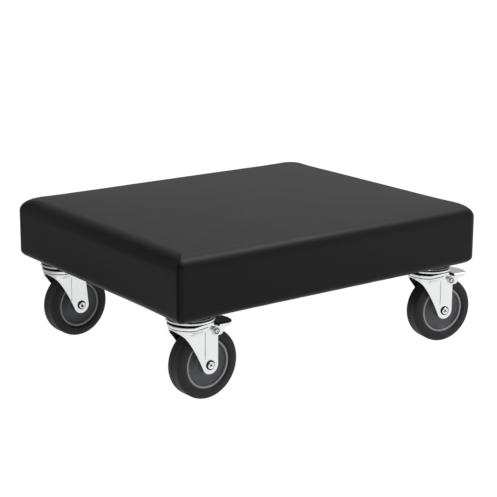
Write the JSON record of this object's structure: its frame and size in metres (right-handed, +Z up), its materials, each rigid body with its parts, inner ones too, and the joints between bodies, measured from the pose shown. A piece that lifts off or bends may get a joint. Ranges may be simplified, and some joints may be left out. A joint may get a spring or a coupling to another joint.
{
  "type": "creeper stool",
  "caption": "Low rolling work seat: a rectangular foam pad in black vinyl on swivel casters with small rubber-tyred wheels, some with a foot brake.",
  "frame": {"origin": "on the floor under the middle of the seat", "axes": "+Z up, +X along the long side of the seat, towards which the casters trail, +Y along its short side, away from the braked pair"},
  "size_m": [0.4209, 0.334, 0.1652],
  "materials": {
    "black_vinyl": "smooth satin vinyl with a very fine grain",
    "foam": "open-cell upholstery foam",
    "plywood": "sanded plywood",
    "dust_cloth": "thin non-woven cloth",
    "staple_wire": "galvanised wire",
    "zinc_screw": "zinc-plated",
    "zinc_plate": "satin zinc plate",
    "bright_zinc": "bright zinc plate",
    "axle_steel": "turned, zinc-plated",
    "ball_steel": "polished, lightly greased",
    "spring_steel": "blued spring strip",
    "grey_plastic": "moulded polypropylene",
    "black_rubber": "matt, finely scuffed"
  },
  "bodies": {
    "seat": {"seat_cover": "black_vinyl", "foam_pad": "foam", "seat_board": "plywood", "dust_cover": "dust_cloth", "cover_staples": "staple_wire", "plate_screws": "zinc_screw", "front_left_top_plate": "zinc_plate", "front_left_king_pin": "zinc_plate", "front_left_upper_balls": "ball_steel", "front_left_lower_balls": "ball_steel", "front_left_race_cap": "zinc_plate", "front_left_dust_ring": "bright_zinc", "front_right_top_plate": "zinc_plate", "front_right_king_pin": "zinc_plate", "front_right_upper_balls": "ball_steel", "front_right_lower_balls": "ball_steel", "front_right_race_cap": "zinc_plate", "front_right_dust_ring": "bright_zinc", "rear_left_top_plate": "zinc_plate", "rear_left_king_pin": "zinc_plate", "rear_left_upper_balls": "ball_steel", "rear_left_lower_balls": "ball_steel", "rear_left_race_cap": "zinc_plate", "rear_left_dust_ring": "bright_zinc", "rear_right_top_plate": "zinc_plate", "rear_right_king_pin": "zinc_plate", "rear_right_upper_balls": "ball_steel", "rear_right_lower_balls": "ball_steel", "rear_right_race_cap": "zinc_plate", "rear_right_dust_ring": "bright_zinc"},
    "front_left_fork": {"front_left_fork": "bright_zinc", "front_left_axle_bolt": "axle_steel", "front_left_axle_nut": "axle_steel", "front_left_axle_sleeve": "axle_steel", "front_left_brake_rivets": "axle_steel", "front_left_brake_spring": "spring_steel"},
    "front_left_wheel": {"front_left_wheel_core": "grey_plastic", "front_left_tyre": "black_rubber"},
    "front_left_pedal": {"front_left_brake_pedal": "bright_zinc"},
    "front_right_fork": {"front_right_fork": "bright_zinc", "front_right_axle_bolt": "axle_steel", "front_right_axle_nut": "axle_steel", "front_right_axle_sleeve": "axle_steel", "front_right_brake_rivets": "axle_steel", "front_right_brake_spring": "spring_steel"},
    "front_right_wheel": {"front_right_wheel_core": "grey_plastic", "front_right_tyre": "black_rubber"},
    "front_right_pedal": {"front_right_brake_pedal": "bright_zinc"},
    "rear_left_fork": {"rear_left_fork": "bright_zinc", "rear_left_axle_bolt": "axle_steel", "rear_left_axle_nut": "axle_steel", "rear_left_axle_sleeve": "axle_steel"},
    "rear_left_wheel": {"rear_left_wheel_core": "grey_plastic", "rear_left_tyre": "black_rubber"},
    "rear_right_fork": {"rear_right_fork": "bright_zinc", "rear_right_axle_bolt": "axle_steel", "rear_right_axle_nut": "axle_steel", "rear_right_axle_sleeve": "axle_steel"},
    "rear_right_wheel": {"rear_right_wheel_core": "grey_plastic", "rear_right_tyre": "black_rubber"}
  },
  "joints": [
    {"name": "front_left_swivel", "type": "hinge", "parent": "seat", "child": "front_left_fork", "pos_m": [-0.165, -0.13, 0.084], "axis": [0, 0, 1], "continuous": true},
    {"name": "front_left_roll", "type": "hinge", "parent": "front_left_fork", "child": "front_left_wheel", "pos_m": [-0.15, -0.12966, 0.0375], "axis": [-0.0227, 0.9997, 0], "continuous": true},
    {"name": "front_left_brake", "type": "hinge", "parent": "front_left_fork", "child": "front_left_pedal", "pos_m": [-0.14321, -0.12951, 0.073], "axis": [-0.0227, 0.9997, 0], "range_deg": [0, 12]},
    {"name": "front_right_swivel", "type": "hinge", "parent": "seat", "child": "front_right_fork", "pos_m": [0.165, -0.13, 0.084], "axis": [0, 0, 1], "continuous": true},
    {"name": "front_right_roll", "type": "hinge", "parent": "front_right_fork", "child": "front_right_wheel", "pos_m": [0.17978, -0.13255, 0.0375], "axis": [0.1702, 0.9854, 0], "continuous": true},
    {"name": "front_right_brake", "type": "hinge", "parent": "front_right_fork", "child": "front_right_pedal", "pos_m": [0.18648, -0.13371, 0.073], "axis": [0.1702, 0.9854, 0], "range_deg": [0, 12]},
    {"name": "rear_left_swivel", "type": "hinge", "parent": "seat", "child": "rear_left_fork", "pos_m": [-0.165, 0.13, 0.084], "axis": [0, 0, 1], "continuous": true},
    {"name": "rear_left_roll", "type": "hinge", "parent": "rear_left_fork", "child": "rear_left_wheel", "pos_m": [-0.15002, 0.13076, 0.0375], "axis": [-0.0506, 0.9987, 0], "continuous": true},
    {"name": "rear_right_swivel", "type": "hinge", "parent": "seat", "child": "rear_right_fork", "pos_m": [0.165, 0.13, 0.084], "axis": [0, 0, 1], "continuous": true},
    {"name": "rear_right_roll", "type": "hinge", "parent": "rear_right_fork", "child": "rear_right_wheel", "pos_m": [0.17996, 0.12895, 0.0375], "axis": [0.0698, 0.9976, 0], "continuous": true}
  ]
}
